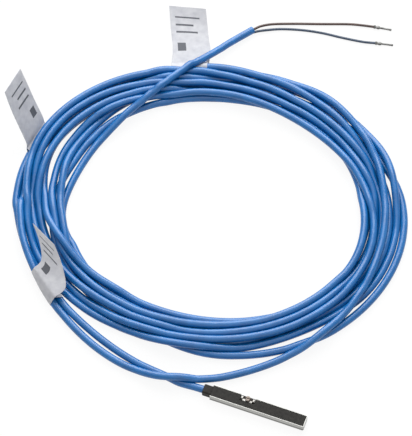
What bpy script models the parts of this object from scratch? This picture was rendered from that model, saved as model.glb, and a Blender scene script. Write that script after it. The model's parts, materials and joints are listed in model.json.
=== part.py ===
# Proximity switch for a T-slot, with its two-core lead laid in a hand coil.
# Frame: X runs along the switch body with the lead leaving at -X, Z is up and
# the body's underside lies on z = 0. All sizes are in metres.

import math

import bmesh
import bpy
from mathutils import Matrix, Vector

# Switch body
BODY_LENGTH = 0.0402
BODY_WIDTH = 0.0050
BODY_HEIGHT = 0.0036
FIT_GAP = 0.0001  # between pieces that fit into each other
BLEND_STEPS = 4  # facets in a rounded corner

# Folded steel channel
WALL = 0.00025
BEND_RADIUS = 0.00045
END_CORNER = 0.0005
KNEE_HEIGHT = 0.00235  # the walls lean in above this
WALL_LEAN = 0.00006
RIM_DROP = 0.00005  # from the body's top down to the rim of the walls

# Moulded cover
COVER_CHAMFER = 0.00007
SKIRT = 0.00045
CEILING = 0.0007  # thickness of the top over the chambers
NECK_LENGTH = 0.0033
NECK_SIDE_WALL = 0.0003
NECK_TOP_WALL = 0.0002
NECK_CORNER = 0.0006
NECK_ROOT = 0.0006  # how far the neck runs on into the body
ROOT_DROP = 0.0003  # from the body's top down to the neck's root
ENTRY_DEPTH = 0.0027  # jacket seat in the neck
ENTRY_SHOULDER = 0.0002  # from the jacket's end to the shoulder of its seat
THROAT_RADIUS = 0.0012  # passage for the two cores
CHAMBER_END_WALL = 0.0008
LEDGE = 0.0002  # seat along both sides for the board's edges

# Clamp in its pocket
CLAMP_FROM_CABLE_END = 0.0171
NUT_LENGTH = 0.0054
NUT_CHEEK = 0.0002  # metal left beside the screw
PASSAGE_WIDTH = 0.0014  # left for the board in front of the pocket
NUT_BOTTOM = 0.0019
NUT_DECK = 0.0026  # top of the plate that the screw goes through
BAR_TOP = 0.0033  # the raised bar along the nut's front
BAR_WIDTH = 0.0010
BAR_SETBACK = 0.0007  # from each end of the nut
EAR_TOP = 0.0037
EAR_LENGTH = 0.0009
EAR_WIDTH = 0.0011
EAR_SETBACK = 0.0007  # from the nut's front
NUT_CHAMFER = 0.00015
NUT_SETBACK = 0.00005  # from the back edge of the body
POCKET_PLAY = 0.0002
POCKET_WALL = 0.00025
SCREW_PITCH = 0.0004
THREAD_DEPTH = 0.00015
SCREW_TOP = 0.0042
SCREW_TIP = 0.0002
SCREW_CHAMFER = 0.0002
THREAD_PLAY = 0.00005
DRIVE_SLOT_WIDTH = 0.0004
DRIVE_SLOT_DEPTH = 0.0006

# Circuit board and what it carries
BOARD_THICKNESS = 0.0004
BOARD_LIFT = 0.00015  # above the channel's floor
PART_LIFT = 0.00005  # solder film under each part
LEAD_FOOT = 0.0003
TERMINAL = 0.0003
TERMINAL_PROUD = 0.00004
PAD_ALONG = 0.54  # of the chamber at the cable end
PAD_ASIDE = 0.4545  # of the chamber's half width
SOLDER_GAP = 0.0003  # between the two domes
SOLDER_HEIGHT = 0.0008

# Lead
JACKET_DIAMETER = 0.0029
CORE_DIAMETER = 0.0010
CORE_SPACING = 0.0011
LAY_GAP = 0.0003  # between a lying cord and what it meets
COIL_BAND = 0.0154
COIL_HEIGHT = 0.0057
COIL_ROUND = 0.0020
COIL_SPACING = 0.0054
CORD_SPACING = 0.0085  # between a lying cord's points, about three diameters
CORE_POINT_SPACING = 0.0050

# Wire end ferrules
CRIMP_LENGTH = 0.0025
CRIMP_DIAMETER = 0.00125
PIN_LENGTH = 0.0045
PIN_DIAMETER = 0.0008
FERRULE_STEPS = 12

# Label flags
LABEL_THICKNESS = 0.0002
LABEL_ROWS = 10

BODY_LOW_X = -BODY_LENGTH / 2
BODY_HIGH_X = BODY_LENGTH / 2
CHANNEL_LOW_X = BODY_LOW_X + NECK_LENGTH
RIM_HEIGHT = BODY_HEIGHT - RIM_DROP
COVER_BASE = WALL + FIT_GAP
COVER_HALF = BODY_WIDTH / 2 - WALL - FIT_GAP
CHAMBER_HALF = COVER_HALF - SKIRT
RECESS_HALF = CHAMBER_HALF + LEDGE
CHAMBER_TOP = BODY_HEIGHT - CEILING
BOARD_LOW = WALL + BOARD_LIFT
BOARD_TOP = BOARD_LOW + BOARD_THICKNESS
LEDGE_HEIGHT = BOARD_TOP + FIT_GAP
BOARD_HALF = RECESS_HALF - FIT_GAP
CHAMBER_LOW_X = CHANNEL_LOW_X + NECK_ROOT + FIT_GAP
CHAMBER_HIGH_X = BODY_HIGH_X - WALL - FIT_GAP - CHAMBER_END_WALL
CLAMP_X = BODY_LOW_X + CLAMP_FROM_CABLE_END
NUT_HIGH_Y = BODY_WIDTH / 2 - NUT_SETBACK
NUT_LOW_Y = PASSAGE_WIDTH + POCKET_WALL + FIT_GAP - CHAMBER_HALF
CLAMP_Y = (NUT_HIGH_Y + NUT_LOW_Y) / 2
SCREW_DIAMETER = NUT_HIGH_Y - NUT_LOW_Y - 2 * NUT_CHEEK
POCKET_LOW_X = CLAMP_X - NUT_LENGTH / 2 - POCKET_PLAY
POCKET_HIGH_X = CLAMP_X + NUT_LENGTH / 2 + POCKET_PLAY
POCKET_LOW_Y = NUT_LOW_Y - FIT_GAP
PASSAGE_HIGH_Y = POCKET_LOW_Y - POCKET_WALL
CHAMBERS = {
    "cable end": (CHAMBER_LOW_X, POCKET_LOW_X - POCKET_WALL),
    "blunt end": (POCKET_HIGH_X + POCKET_WALL, CHAMBER_HIGH_X),
}
PAD_Y = CHAMBER_HALF * PAD_ASIDE
SOLDER_RADIUS = PAD_Y - SOLDER_GAP / 2
JACKET_RADIUS = JACKET_DIAMETER / 2
CORE_RADIUS = CORE_DIAMETER / 2
NECK_WIDTH = JACKET_DIAMETER + 2 * (FIT_GAP + NECK_SIDE_WALL)
NECK_HEIGHT = JACKET_DIAMETER + 2 * (FIT_GAP + NECK_TOP_WALL)
ENTRY_HEIGHT = NECK_HEIGHT / 2
CORE_ENTRY_HEIGHT = (BOARD_TOP + CHAMBER_TOP) / 2
BEYOND = 0.0010  # how far a cutter runs past the face it opens

# Chips on the board: the chamber, how far along it, length, margin to its walls, height
CHIPS = {
    "sensor_chip": ("blunt end", 0.78, 0.0020, 0.00045, 0.0008),
    "amplifier_chip": ("blunt end", 0.46, 0.0024, 0.00035, 0.0009),
}
CHIP_LEGS = 3
# Parts with two ends: the chamber, shares of its length and half width, length, width, height
TWO_ENDED = {
    "capacitor_1": ("blunt end", 0.25, 0.36, 0.0016, 0.0008, 0.0008),
    "capacitor_2": ("cable end", 0.81, -0.42, 0.0016, 0.0008, 0.0008),
    "resistor_1": ("blunt end", 0.63, 0.54, 0.0010, 0.0005, 0.00035),
    "resistor_2": ("blunt end", 0.25, -0.42, 0.0010, 0.0005, 0.00035),
    "diode": ("cable end", 0.80, 0.48, 0.0017, 0.0009, 0.0007),
}

# The middle of the winding, clockwise from the side nearest the switch
COIL_ROUTE = (
    (-0.0243, 0.0209, 0.0),
    (-0.0548, 0.0196, 0.0),
    (-0.0833, 0.0278, 0.0),
    (-0.1024, 0.0487, 0.0),
    (-0.1072, 0.0780, 0.0),
    (-0.0919, 0.1069, 0.0),
    (-0.0619, 0.1244, 0.0),
    (-0.0282, 0.1281, 0.0),
    (0.0014, 0.1166, 0.0),
    (0.0198, 0.0931, 0.0),
    (0.0219, 0.0633, 0.0),
    (0.0048, 0.0360, 0.0),
)
# The stretch that leaves the neck, runs out past the winding and joins it
LEAD_ROUTE = (
    (BODY_LOW_X + ENTRY_DEPTH - ENTRY_SHOULDER, 0.0, ENTRY_HEIGHT),
    (BODY_LOW_X, 0.0, ENTRY_HEIGHT),
    (-0.0240, -0.0001, 0.0017),
    (-0.0310, -0.0003, 0.0015),
    (-0.0392, 0.0004, 0.0015),
    (-0.0461, 0.0014, 0.0015),
    (-0.0527, 0.0029, 0.0015),
    (-0.0590, 0.0048, 0.0015),
    (-0.0649, 0.0070, 0.0015),
    (-0.0705, 0.0093, 0.0015),
    (-0.0759, 0.0120, 0.0015),
    (-0.0812, 0.0145, 0.0015),
    (-0.0909, 0.0203, 0.0015),
    (-0.0999, 0.0274, 0.0015),
    (-0.1073, 0.0361, 0.0015),
    (-0.1129, 0.0459, 0.0015),
    (-0.1157, 0.0533, 0.0015),
)
# The loose turn that swings out past the winding and over the lead
LOOP_ROUTE = (
    (0.0047, 0.0237, 0.0020),
    (-0.0006, 0.0182, 0.0016),
    (-0.0070, 0.0130, 0.0015),
    (-0.0187, 0.0053, 0.0029),
    (-0.0289, 0.0003, 0.0047),
    (-0.0387, -0.0012, 0.0048),
    (-0.0486, -0.0009, 0.0036),
    (-0.0598, 0.0011, 0.0018),
    (-0.0696, 0.0048, 0.0015),
    (-0.0759, 0.0084, 0.0025),
    (-0.0833, 0.0130, 0.0045),
    (-0.0904, 0.0188, 0.0048),
    (-0.0990, 0.0261, 0.0048),
    (-0.1068, 0.0345, 0.0048),
    (-0.1123, 0.0443, 0.0048),
    (-0.1148, 0.0518, 0.0048),
)
# The tail, from the inside of the winding over it to the stripped end
TAIL_ROUTE = (
    (-0.0969, 0.0629, 0.0015),
    (-0.0964, 0.0682, 0.0016),
    (-0.0953, 0.0737, 0.0020),
    (-0.0942, 0.0789, 0.0028),
    (-0.0924, 0.0851, 0.0044),
    (-0.0904, 0.0897, 0.0058),
    (-0.0881, 0.0958, 0.0070),
    (-0.0864, 0.0997, 0.0074),
    (-0.0836, 0.1060, 0.0076),
    (-0.0806, 0.1119, 0.0077),
    (-0.0774, 0.1174, 0.0077),
    (-0.0744, 0.1222, 0.0078),
    (-0.0713, 0.1274, 0.0077),
    (-0.0682, 0.1350, 0.0056),
    (-0.0646, 0.1415, 0.0033),
    (-0.0608, 0.1474, 0.0018),
    (-0.0560, 0.1524, 0.0015),
)
BROWN_ROUTE = (
    (-0.0562, 0.1530, 0.0016),
    (-0.0528, 0.1564, 0.0015),
    (-0.0486, 0.1590, 0.0011),
    (-0.0407, 0.1624, 0.0006),
    (-0.0306, 0.1660, 0.0005),
    (-0.0205, 0.1696, 0.0005),
    (-0.0152, 0.1709, 0.0006),
    (-0.0104, 0.1718, 0.0007),
)
BLUE_ROUTE = (
    (-0.0554, 0.1522, 0.0013),
    (-0.0509, 0.1554, 0.0008),
    (-0.0450, 0.1584, 0.0006),
    (-0.0373, 0.1607, 0.0005),
    (-0.0292, 0.1621, 0.0005),
    (-0.0209, 0.1628, 0.0005),
    (-0.0128, 0.1637, 0.0006),
    (-0.0075, 0.1649, 0.0007),
)

# Each flag's rows from the strand outwards, as its two edges
TOP_FLAG = (
    ((-0.0796, 0.1272, 0.0015), (-0.0657, 0.1316, 0.0015)),
    ((-0.0819, 0.1341, 0.0007), (-0.0678, 0.1390, 0.0007)),
    ((-0.0847, 0.1403, 0.0004), (-0.0705, 0.1445, 0.0004)),
    ((-0.0875, 0.1464, 0.0006), (-0.0732, 0.1502, 0.0007)),
    ((-0.0903, 0.1526, 0.0016), (-0.0759, 0.1559, 0.0022)),
)
LEFT_FLAG = (
    ((-0.1152, 0.0849, 0.0030), (-0.1155, 0.0713, 0.0030)),
    ((-0.1185, 0.0866, 0.0056), (-0.1191, 0.0728, 0.0058)),
    ((-0.1225, 0.0894, 0.0106), (-0.1233, 0.0756, 0.0116)),
    ((-0.1264, 0.0924, 0.0159), (-0.1274, 0.0786, 0.0178)),
    ((-0.1301, 0.0951, 0.0210), (-0.1310, 0.0818, 0.0240)),
)
LOWER_FLAG = (
    ((-0.0969, 0.0232, 0.0068), (-0.0850, 0.0145, 0.0068)),
    ((-0.0951, 0.0262, 0.0080), (-0.0824, 0.0190, 0.0076)),
    ((-0.0961, 0.0294, 0.0095), (-0.0847, 0.0239, 0.0088)),
    ((-0.0989, 0.0337, 0.0112), (-0.0880, 0.0283, 0.0105)),
    ((-0.1027, 0.0379, 0.0130), (-0.0920, 0.0326, 0.0122)),
)


def clear_scene():
    for thing in list(bpy.data.objects):
        bpy.data.objects.remove(thing, do_unlink=True)


def make_material(name, colour, roughness, metallic=0.0):
    material = bpy.data.materials.new(name)
    material.use_nodes = True
    shader = material.node_tree.nodes["Principled BSDF"]
    shader.inputs["Base Color"].default_value = (*colour, 1.0)
    shader.inputs["Roughness"].default_value = roughness
    shader.inputs["Metallic"].default_value = metallic
    return material


def add_object(name, data, material=None):
    item = bpy.data.objects.new(name, data)
    bpy.context.scene.collection.objects.link(item)
    if material is not None:
        data.materials.append(material)
    return item


def add_body(name, bm, material=None, smooth=False):
    """One object from a closed bmesh, with its faces turned outwards."""
    bmesh.ops.recalc_face_normals(bm, faces=bm.faces)
    mesh = bpy.data.meshes.new(name)
    bm.to_mesh(mesh)
    bm.free()
    if smooth:
        mesh.shade_smooth()
        mesh.set_sharp_from_angle(angle=math.radians(35))
    return add_object(name, mesh, material)


def loft(rings, closed=False):
    """A bmesh through rings of equally many points, capped at both ends unless it closes on itself."""
    bm = bmesh.new()
    loops = [[bm.verts.new(point) for point in ring] for ring in rings]
    pairs = list(zip(loops, loops[1:]))
    if closed:
        pairs.append((loops[-1], loops[0]))
    for low, high in pairs:
        for i in range(len(low)):
            j = (i + 1) % len(low)
            bm.faces.new((low[i], low[j], high[j], high[i]))
    if not closed:
        bm.faces.new(reversed(loops[0]))
        bm.faces.new(loops[-1])
    return bm


def cuboid(low, high):
    xs, ys, zs = zip(low, high)
    base = ((xs[0], ys[0]), (xs[1], ys[0]), (xs[1], ys[1]), (xs[0], ys[1]))
    return loft([[(x, y, z) for x, y in base] for z in zs])


def prism(outline, low, high):
    """An outline in X and Y, raised from one height to another."""
    return loft([[(x, y, z) for x, y in outline] for z in (low, high)])


def arc(centre_x, centre_y, radius, start, stop, steps):
    points = []
    for i in range(steps + 1):
        angle = math.radians(start + (stop - start) * i / steps)
        points.append((centre_x + radius * math.cos(angle), centre_y + radius * math.sin(angle)))
    return points


def round_end_outline(low_x, high_x, half_width, corner):
    """A plan outline that is square at low X and has round corners at high X."""
    return (
        [(low_x, -half_width)]
        + arc(high_x - corner, corner - half_width, corner, -90, 0, BLEND_STEPS)
        + arc(high_x - corner, half_width - corner, corner, 0, 90, BLEND_STEPS)
        + [(low_x, half_width)]
    )


def rounded_rectangle(width, height, corner, steps=BLEND_STEPS):
    across, up = width / 2 - corner, height / 2 - corner
    return (
        arc(across, -up, corner, -90, 0, steps)
        + arc(across, up, corner, 0, 90, steps)
        + arc(-across, up, corner, 90, 180, steps)
        + arc(-across, -up, corner, 180, 270, steps)
    )


def circle(radius, steps):
    return arc(0, 0, radius, 0, 360 * (steps - 1) / steps, steps - 1)


def rod_along(axis, centre, radius, low, high, steps=24):
    """A round rod along X or Z, between two values of that coordinate."""
    rings = []
    for end in (low, high):
        if axis == "X":
            rings.append([(end, centre[0] + a, centre[1] + b) for a, b in circle(radius, steps)])
        else:
            rings.append([(centre[0] + a, centre[1] + b, end) for a, b in circle(radius, steps)])
    return loft(rings)


def turned(profile, steps):
    """A profile of radius and height spun round Z; it starts and ends on the axis."""
    bm = bmesh.new()
    line = [bm.verts.new((radius, 0.0, height)) for radius, height in profile]
    edges = [bm.edges.new(pair) for pair in zip(line, line[1:])]
    bmesh.ops.spin(
        bm, geom=line + edges, cent=(0, 0, 0), axis=(0, 0, 1),
        angle=math.tau, steps=steps, use_duplicate=False,
    )
    bmesh.ops.remove_doubles(bm, verts=bm.verts, dist=1e-7)
    return bm


def cut(target, bm, operation="DIFFERENCE"):
    """Cut a bmesh out of an object, or join it on, with a Boolean modifier."""
    cutter = add_body(f"{target.name}_cutter_{len(target.modifiers)}", bm)
    cutter.hide_render = True
    cutter.display_type = "WIRE"
    modifier = target.modifiers.new(cutter.name, "BOOLEAN")
    modifier.solver = "EXACT"
    modifier.operation = operation
    modifier.object = cutter


def smooth_points(route, spacing, closed=False):
    """Evenly spaced points on a Catmull-Rom curve through a route."""
    knots = [Vector(point) for point in route]
    if closed:
        knots = [knots[-1], *knots, knots[0], knots[1]]
    else:
        knots = [2 * knots[0] - knots[1], *knots, 2 * knots[-1] - knots[-2]]
    dense = []
    pieces = 24
    for a, b, c, d in zip(knots, knots[1:], knots[2:], knots[3:]):
        for i in range(pieces):
            t = i / pieces
            dense.append(
                0.5 * (2 * b + (c - a) * t + (2 * a - 5 * b + 4 * c - d) * t**2 + (3 * b - a - 3 * c + d) * t**3)
            )
    dense.append(knots[-2])
    along = [0.0]
    for a, b in zip(dense, dense[1:]):
        along.append(along[-1] + (b - a).length)
    count = max(2, round(along[-1] / spacing))
    points, k = [], 0
    for i in range(count + 1):
        target = along[-1] * i / count
        while k < len(dense) - 2 and along[k + 1] < target:
            k += 1
        share = (target - along[k]) / (along[k + 1] - along[k])
        points.append(dense[k].lerp(dense[k + 1], min(share, 1.0)))
    return points[:-1] if closed else points


def add_cord(name, route, diameter, spacing, material):
    """A round cord along a smooth route, as a bevelled curve with closed ends."""
    curve = bpy.data.curves.new(name, "CURVE")
    curve.dimensions = "3D"
    curve.bevel_depth = diameter / 2
    curve.bevel_resolution = 2
    curve.use_fill_caps = True
    points = smooth_points(route, spacing)
    spline = curve.splines.new("POLY")
    spline.points.add(len(points) - 1)
    for knot, point in zip(spline.points, points):
        knot.co = (*point, 1.0)
    return add_object(name, curve, material)


def tube_mesh(route, radius, spacing, sides=10):
    """A round tube as a mesh, for the cores inside the body and their channels in the resin."""
    points = smooth_points(route, spacing)
    rings = []
    for i, point in enumerate(points):
        ahead = points[min(i + 1, len(points) - 1)] - points[max(i - 1, 0)]
        side = Vector((0, 0, 1)).cross(ahead).normalized()
        up = ahead.cross(side).normalized()
        rings.append([point + side * a + up * b for a, b in circle(radius, sides)])
    return loft(rings)


def along_chamber(name, share):
    low, high = CHAMBERS[name]
    return low + (high - low) * share


def chip_places():
    """Middle, length, width and height of each chip; its legs reach towards the chamber's walls."""
    places = {}
    for name, (chamber, share, length, margin, height) in CHIPS.items():
        width = 2 * (CHAMBER_HALF - LEAD_FOOT - margin)
        places[name] = (along_chamber(chamber, share), 0.0, length, width, height)
    return places


def two_ended_places():
    places = {}
    for name, (chamber, share, aside, length, width, height) in TWO_ENDED.items():
        places[name] = (along_chamber(chamber, share), CHAMBER_HALF * aside, length, width, height)
    return places


def channel_outline(inset, corner=END_CORNER):
    return round_end_outline(CHANNEL_LOW_X, BODY_HIGH_X - inset, BODY_WIDTH / 2 - inset, corner)


def raised(outline, height):
    return [(x, y, height) for x, y in outline]


def bend_levels(radius, base):
    """Inset and height along the quarter bend between the floor and a wall."""
    levels = []
    for i in range(BLEND_STEPS + 1):
        angle = math.pi / 2 * i / BLEND_STEPS
        levels.append((radius * (1 - math.sin(angle)), base + radius * (1 - math.cos(angle))))
    return levels


def add_channel(steel):
    """The folded channel: a floor, two walls that lean in at the rim and a closed blunt end."""
    rings = [raised(channel_outline(inset), height) for inset, height in bend_levels(BEND_RADIUS, 0.0)]
    rings.append(raised(channel_outline(0.0), KNEE_HEIGHT))
    rings.append(raised(channel_outline(WALL_LEAN), RIM_HEIGHT))
    channel = add_body("housing_channel", loft(rings), steel)

    inner = [
        (WALL + inset, height) for inset, height in bend_levels(BEND_RADIUS - WALL, WALL)
    ]
    inner.append((WALL, KNEE_HEIGHT))
    slope = WALL_LEAN / (RIM_HEIGHT - KNEE_HEIGHT)
    inner.append((WALL + WALL_LEAN + slope * BEYOND, RIM_HEIGHT + BEYOND))
    rings = []
    for inset, height in inner:
        outline = channel_outline(inset, END_CORNER - WALL)
        outline[0] = (CHANNEL_LOW_X - BEYOND, outline[0][1])
        outline[-1] = (CHANNEL_LOW_X - BEYOND, outline[-1][1])
        rings.append(raised(outline, height))
    cut(channel, loft(rings))

    # the clamp's window in the back wall, and the hole its screw comes down through
    window_low = NUT_BOTTOM - POCKET_PLAY
    window = cuboid(
        (POCKET_LOW_X, BODY_WIDTH / 4, window_low),
        (POCKET_HIGH_X, BODY_WIDTH / 2 + BEYOND, BODY_HEIGHT + BEYOND),
    )
    cut(channel, window)
    hole_radius = SCREW_DIAMETER / 2 - THREAD_DEPTH + FIT_GAP
    cut(channel, rod_along("Z", (CLAMP_X, CLAMP_Y), hole_radius, -BEYOND, WALL + BEYOND / 2, 32))
    return channel


def add_cover(plastic):
    """The moulding: a top that lies between the walls, skirts, a neck for the lead and the clamp's pocket."""
    low_x = CHANNEL_LOW_X
    high_x = BODY_HIGH_X - WALL - FIT_GAP
    corner = END_CORNER - WALL
    edge = WALL_LEAN + COVER_CHAMFER
    levels = (
        (low_x, COVER_HALF, high_x, COVER_BASE),
        (low_x, COVER_HALF, high_x, KNEE_HEIGHT),
        (low_x, COVER_HALF - WALL_LEAN, high_x - WALL_LEAN, BODY_HEIGHT - COVER_CHAMFER),
        (low_x + COVER_CHAMFER, COVER_HALF - edge, high_x - edge, BODY_HEIGHT),
    )
    rings = [raised(round_end_outline(start, x, half, corner), z) for start, half, x, z in levels]
    cover = add_body("top_cover", loft(rings), plastic)

    # the neck stands back from both sides of the body and clears the channel's floor
    profile = rounded_rectangle(NECK_WIDTH, NECK_HEIGHT, NECK_CORNER)
    tapered = rounded_rectangle(NECK_WIDTH - COVER_CHAMFER * 4, NECK_HEIGHT - COVER_CHAMFER * 4, NECK_CORNER)
    stations = (
        (tapered, BODY_LOW_X),
        (profile, BODY_LOW_X + COVER_CHAMFER * 3),
        (profile, CHANNEL_LOW_X - FIT_GAP),
    )
    neck = [[(x, y, ENTRY_HEIGHT + z) for y, z in section] for section, x in stations]
    cut(cover, loft(neck), "UNION")
    root_half = min(NECK_WIDTH / 2, COVER_HALF) - FIT_GAP
    cut(cover, cuboid(
        (CHANNEL_LOW_X - NECK_ROOT, -root_half, COVER_BASE + FIT_GAP),
        (CHANNEL_LOW_X + NECK_ROOT, root_half, BODY_HEIGHT - ROOT_DROP),
    ), "UNION")

    # seat for the jacket, then the throat for the two cores
    cut(cover, rod_along(
        "X", (0.0, ENTRY_HEIGHT), JACKET_RADIUS + FIT_GAP,
        BODY_LOW_X - BEYOND, BODY_LOW_X + ENTRY_DEPTH,
    ))
    cut(cover, rod_along(
        "X", (0.0, CORE_ENTRY_HEIGHT), THROAT_RADIUS,
        BODY_LOW_X + ENTRY_DEPTH - FIT_GAP, CHAMBER_LOW_X + FIT_GAP,
    ))

    # one stepped chamber for the electronics, narrowed where it passes the pocket
    recess = board_outline(
        RECESS_HALF, CHAMBER_LOW_X - FIT_GAP, CHAMBER_HIGH_X + FIT_GAP, *clamp_notch(-FIT_GAP / 2)
    )
    chamber = board_outline(CHAMBER_HALF, CHAMBER_LOW_X, CHAMBER_HIGH_X, *clamp_notch(0.0))
    steps = ((recess, 0.0), (recess, LEDGE_HEIGHT), (chamber, LEDGE_HEIGHT), (chamber, CHAMBER_TOP))
    cut(cover, loft([raised(outline, z) for outline, z in steps]))

    # the pocket opens to the top, the back and the hole in the floor
    cut(cover, cuboid(
        (POCKET_LOW_X, POCKET_LOW_Y, -BEYOND),
        (POCKET_HIGH_X, BODY_WIDTH / 2 + BEYOND, BODY_HEIGHT + BEYOND),
    ))
    return cover


def chamfered_block(low, high, chamfer):
    """A block whose upper edges are chamfered all round."""
    rings = []
    for inset, z in ((0.0, low[2]), (0.0, high[2] - chamfer), (chamfer, high[2])):
        xs = (low[0] + inset, high[0] - inset)
        ys = (low[1] + inset, high[1] - inset)
        rings.append([(xs[0], ys[0], z), (xs[1], ys[0], z), (xs[1], ys[1], z), (xs[0], ys[1], z)])
    return loft(rings)


def add_clamp_nut(nickel):
    """The clamp: a threaded plate with a raised bar along its front and an ear at each end."""
    half = NUT_LENGTH / 2
    nut = add_body("clamp_nut", cuboid(
        (CLAMP_X - half, NUT_LOW_Y, NUT_BOTTOM), (CLAMP_X + half, NUT_HIGH_Y, NUT_DECK),
    ), nickel)
    root = (NUT_BOTTOM + NUT_DECK) / 2
    cut(nut, chamfered_block(
        (CLAMP_X - half + BAR_SETBACK, NUT_LOW_Y, root),
        (CLAMP_X + half - BAR_SETBACK, NUT_LOW_Y + BAR_WIDTH, BAR_TOP), NUT_CHAMFER,
    ), "UNION")
    ear_y = NUT_LOW_Y + EAR_SETBACK
    for low_x in (CLAMP_X - half, CLAMP_X + half - EAR_LENGTH):
        cut(nut, chamfered_block(
            (low_x, ear_y, root), (low_x + EAR_LENGTH, ear_y + EAR_WIDTH, EAR_TOP), NUT_CHAMFER,
        ), "UNION")
    bore = SCREW_DIAMETER / 2 + THREAD_PLAY
    cut(nut, rod_along("Z", (CLAMP_X, CLAMP_Y), bore, NUT_BOTTOM - BEYOND, EAR_TOP + BEYOND, 40))
    return nut


def add_clamp_screw(steel):
    """The slotted set screw, turned about its own origin on its axis."""
    radius = SCREW_DIAMETER / 2
    root = radius - THREAD_DEPTH
    profile = [(0.0, SCREW_TOP), (root, SCREW_TOP)]
    height = SCREW_TOP - SCREW_CHAMFER
    while height - SCREW_PITCH > SCREW_TIP + SCREW_CHAMFER:
        profile += [(radius, height), (radius, height - SCREW_PITCH / 4), (root, height - SCREW_PITCH * 0.6)]
        height -= SCREW_PITCH
    profile += [(root, SCREW_TIP + SCREW_CHAMFER), (root - SCREW_CHAMFER, SCREW_TIP), (0.0, SCREW_TIP)]
    screw = add_body("clamp_screw", turned(profile, 32), steel, smooth=True)
    screw.location = (CLAMP_X, CLAMP_Y, 0.0)
    slot = cuboid(
        (-radius - BEYOND, -DRIVE_SLOT_WIDTH / 2, SCREW_TOP - DRIVE_SLOT_DEPTH),
        (radius + BEYOND, DRIVE_SLOT_WIDTH / 2, SCREW_TOP + BEYOND),
    )
    bmesh.ops.translate(slot, verts=slot.verts, vec=screw.location)
    cut(screw, slot)
    return screw


def board_outline(half, low_x, high_x, notch_low_x, notch_high_x, passage_y):
    """A strip with a deep notch in its back edge, where it squeezes past the clamp."""
    return (
        (low_x, -half), (high_x, -half), (high_x, half), (notch_high_x, half),
        (notch_high_x, passage_y), (notch_low_x, passage_y), (notch_low_x, half), (low_x, half),
    )


def clamp_notch(gap):
    low = POCKET_LOW_X - POCKET_WALL - gap
    high = POCKET_HIGH_X + POCKET_WALL + gap
    return low, high, PASSAGE_HIGH_Y - gap


def add_board(laminate):
    outline = board_outline(BOARD_HALF, CHAMBER_LOW_X + FIT_GAP, CHAMBER_HIGH_X - FIT_GAP, *clamp_notch(FIT_GAP))
    return add_body("circuit_board", prism(outline, BOARD_LOW, BOARD_TOP), laminate)


def add_chip(name, place, plastic):
    """A moulded chip with flat legs along both sides."""
    x, y, length, width, height = place
    base = BOARD_TOP + PART_LIFT
    shoulder = base + height * 0.45
    draft = height * 0.12
    rings = []
    for inset, z in ((draft, base), (0.0, shoulder), (draft, base + height)):
        section = rounded_rectangle(length - 2 * inset, width - 2 * inset, draft, 1)
        rings.append([(x + a, y + b, z) for a, b in section])
    chip = add_body(name, loft(rings), plastic)
    pitch = length / CHIP_LEGS
    for i in range(CHIP_LEGS):
        leg_x = x + (i - (CHIP_LEGS - 1) / 2) * pitch
        cut(chip, cuboid(
            (leg_x - pitch / 5, y - width / 2 - LEAD_FOOT, base),
            (leg_x + pitch / 5, y + width / 2 + LEAD_FOOT, base + height * 0.2),
        ), "UNION")
    return chip


def add_two_ended(name, place, ceramic):
    """A small block with a proud metal cap on each end."""
    x, y, length, width, height = place
    base = BOARD_TOP + PART_LIFT
    half = length / 2
    caps = half - TERMINAL
    rings = []
    stations = (
        (-half, 0.0), (-caps, 0.0), (-caps, TERMINAL_PROUD),
        (caps, TERMINAL_PROUD), (caps, 0.0), (half, 0.0),
    )
    for along, inset in stations:
        low_y, high_y = y - width / 2 + inset, y + width / 2 - inset
        low_z, high_z = base + inset, base + height - inset
        rings.append([(x + along, low_y, low_z), (x + along, high_y, low_z),
                      (x + along, high_y, high_z), (x + along, low_y, high_z)])
    return add_body(name, loft(rings), ceramic)


def inner_core_route(side):
    """A core from the jacket's end through the throat and down to its pad."""
    start = BODY_LOW_X + ENTRY_DEPTH + FIT_GAP
    pad_x = along_chamber("cable end", PAD_ALONG)
    low = BOARD_TOP + FIT_GAP + CORE_RADIUS
    return (
        (start, side * CORE_SPACING / 2, CORE_ENTRY_HEIGHT),
        (CHAMBER_LOW_X, side * CORE_SPACING / 2, CORE_ENTRY_HEIGHT),
        ((CHAMBER_LOW_X + pad_x) / 2, side * PAD_Y, (CORE_ENTRY_HEIGHT + low) / 2),
        (pad_x - SOLDER_RADIUS - FIT_GAP, side * PAD_Y, low),
    )


def add_solder(name, side, tin):
    """A low dome of solder on its pad."""
    rise = []
    steps = 5
    for i in range(steps + 1):
        angle = math.pi / 2 * (1 - i / steps)
        rise.append((SOLDER_RADIUS * math.cos(angle), SOLDER_HEIGHT * math.sin(angle)))
    dome = add_body(name, turned(rise + [(0.0, 0.0)], 16), tin, smooth=True)
    dome.location = (along_chamber("cable end", PAD_ALONG), side * PAD_Y, BOARD_TOP + PART_LIFT)
    return dome


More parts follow.
